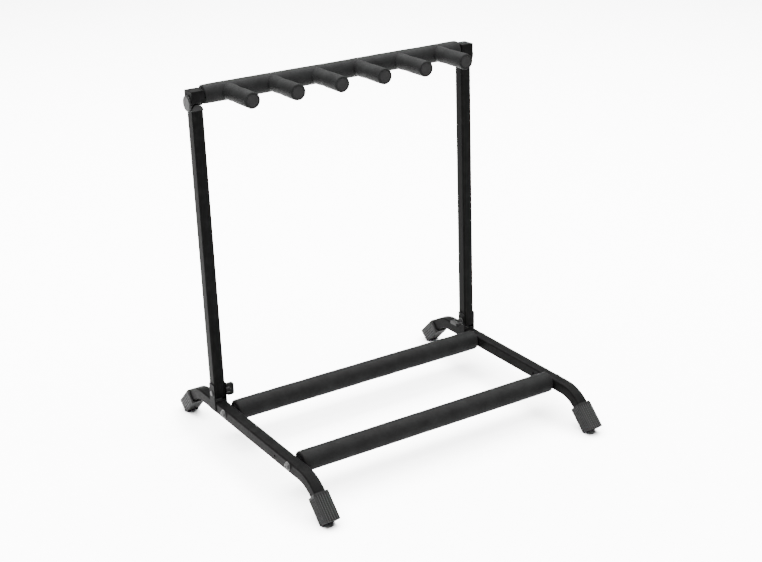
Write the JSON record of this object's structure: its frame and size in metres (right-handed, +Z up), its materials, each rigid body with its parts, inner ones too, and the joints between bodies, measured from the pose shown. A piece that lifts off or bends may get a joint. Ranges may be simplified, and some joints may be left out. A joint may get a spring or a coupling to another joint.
{
  "type": "guitar rack",
  "caption": "Folding floor rack for guitars: padded pegs on a top bar, two leaning posts, bent feet with rubber caps and padded cross tubes.",
  "frame": {"origin": "on the floor, under the middle of the rack's box", "axes": "+Z up, +X to the rack's right as seen from the front, -Y to the front, where the pegs point"},
  "size_m": [0.6086, 0.5654, 0.678],
  "materials": {
    "powder_coated_frame": "black powder coat, fine grain",
    "powder_coated_tube": "black powder coat, inside the foam",
    "roller_foam": "matt closed-cell foam",
    "peg_foam": "matt closed-cell foam",
    "foot_rubber": "ribbed moulded rubber",
    "knob_plastic": "moulded black plastic",
    "insert_plastic": "moulded black plastic",
    "plug_plastic": "satin black plastic",
    "nylon": "black nylon",
    "bolt_steel": "black zinc plate",
    "washer_steel": "black zinc plate"
  },
  "bodies": {
    "base": {"left_base_rail": "powder_coated_frame", "left_front_foot_cap": "foot_rubber", "left_rear_foot_cap": "foot_rubber", "left_rail_washers": "washer_steel", "left_outer_bracket_plate": "powder_coated_frame", "left_inner_bracket_plate": "powder_coated_frame", "left_pivot_bolt": "bolt_steel", "left_pivot_washer": "washer_steel", "left_saddle_block": "insert_plastic", "right_base_rail": "powder_coated_frame", "right_front_foot_cap": "foot_rubber", "right_rear_foot_cap": "foot_rubber", "right_rail_washers": "washer_steel", "right_outer_bracket_plate": "powder_coated_frame", "right_inner_bracket_plate": "powder_coated_frame", "right_pivot_bolt": "bolt_steel", "right_pivot_washer": "washer_steel", "right_saddle_block": "insert_plastic", "cross_tube_plugs": "insert_plastic", "cross_tube_bolts": "bolt_steel", "front_cross_tube": "powder_coated_tube", "front_cross_tube_foam": "roller_foam", "rear_cross_tube": "powder_coated_tube", "rear_cross_tube_foam": "roller_foam"},
    "uprights": {"left_post": "powder_coated_frame", "left_post_foot_plug": "insert_plastic", "left_hinge_block": "insert_plastic", "left_hinge_spacers": "nylon", "left_hinge_bolt": "bolt_steel", "right_post": "powder_coated_frame", "right_post_foot_plug": "insert_plastic", "right_hinge_block": "insert_plastic", "right_hinge_spacers": "nylon", "right_hinge_bolt": "bolt_steel"},
    "peg_bar": {"left_hinge_bracket": "powder_coated_frame", "right_hinge_bracket": "powder_coated_frame", "peg_bar_tube": "powder_coated_tube", "peg_bar_foam": "peg_foam", "peg_end_plugs": "plug_plastic", "peg_1_tube": "powder_coated_tube", "peg_1_foam": "peg_foam", "peg_2_tube": "powder_coated_tube", "peg_2_foam": "peg_foam", "peg_3_tube": "powder_coated_tube", "peg_3_foam": "peg_foam", "peg_4_tube": "powder_coated_tube", "peg_4_foam": "peg_foam", "peg_5_tube": "powder_coated_tube", "peg_5_foam": "peg_foam", "peg_6_tube": "powder_coated_tube", "peg_6_foam": "peg_foam"},
    "left_base_knob": {"left_base_wing_knob": "knob_plastic"},
    "left_hinge_knob": {"left_hinge_knob": "knob_plastic"},
    "right_base_knob": {"right_base_wing_knob": "knob_plastic"},
    "right_hinge_knob": {"right_hinge_knob": "knob_plastic"}
  },
  "joints": [
    {"name": "upright_fold", "type": "hinge", "parent": "base", "child": "uprights", "pos_m": [0, 0.1345, 0.0902], "axis": [1, 0, 0], "range_deg": [0, 90]},
    {"name": "peg_bar_fold", "type": "hinge", "parent": "uprights", "child": "peg_bar", "pos_m": [0, 0.14376, 0.64872], "axis": [1, 0, 0], "range_deg": [-90, 0]},
    {"name": "left_base_knob_turn", "type": "hinge", "parent": "base", "child": "left_base_knob", "pos_m": [-0.268, 0.1345, 0.0902], "axis": [1, 0, 0], "continuous": true},
    {"name": "left_hinge_knob_turn", "type": "hinge", "parent": "uprights", "child": "left_hinge_knob", "pos_m": [-0.304, 0.14376, 0.64872], "axis": [1, 0, 0], "continuous": true},
    {"name": "right_base_knob_turn", "type": "hinge", "parent": "base", "child": "right_base_knob", "pos_m": [0.268, 0.1345, 0.0902], "axis": [1, 0, 0], "continuous": true},
    {"name": "right_hinge_knob_turn", "type": "hinge", "parent": "uprights", "child": "right_hinge_knob", "pos_m": [0.304, 0.14376, 0.64872], "axis": [1, 0, 0], "continuous": true}
  ]
}
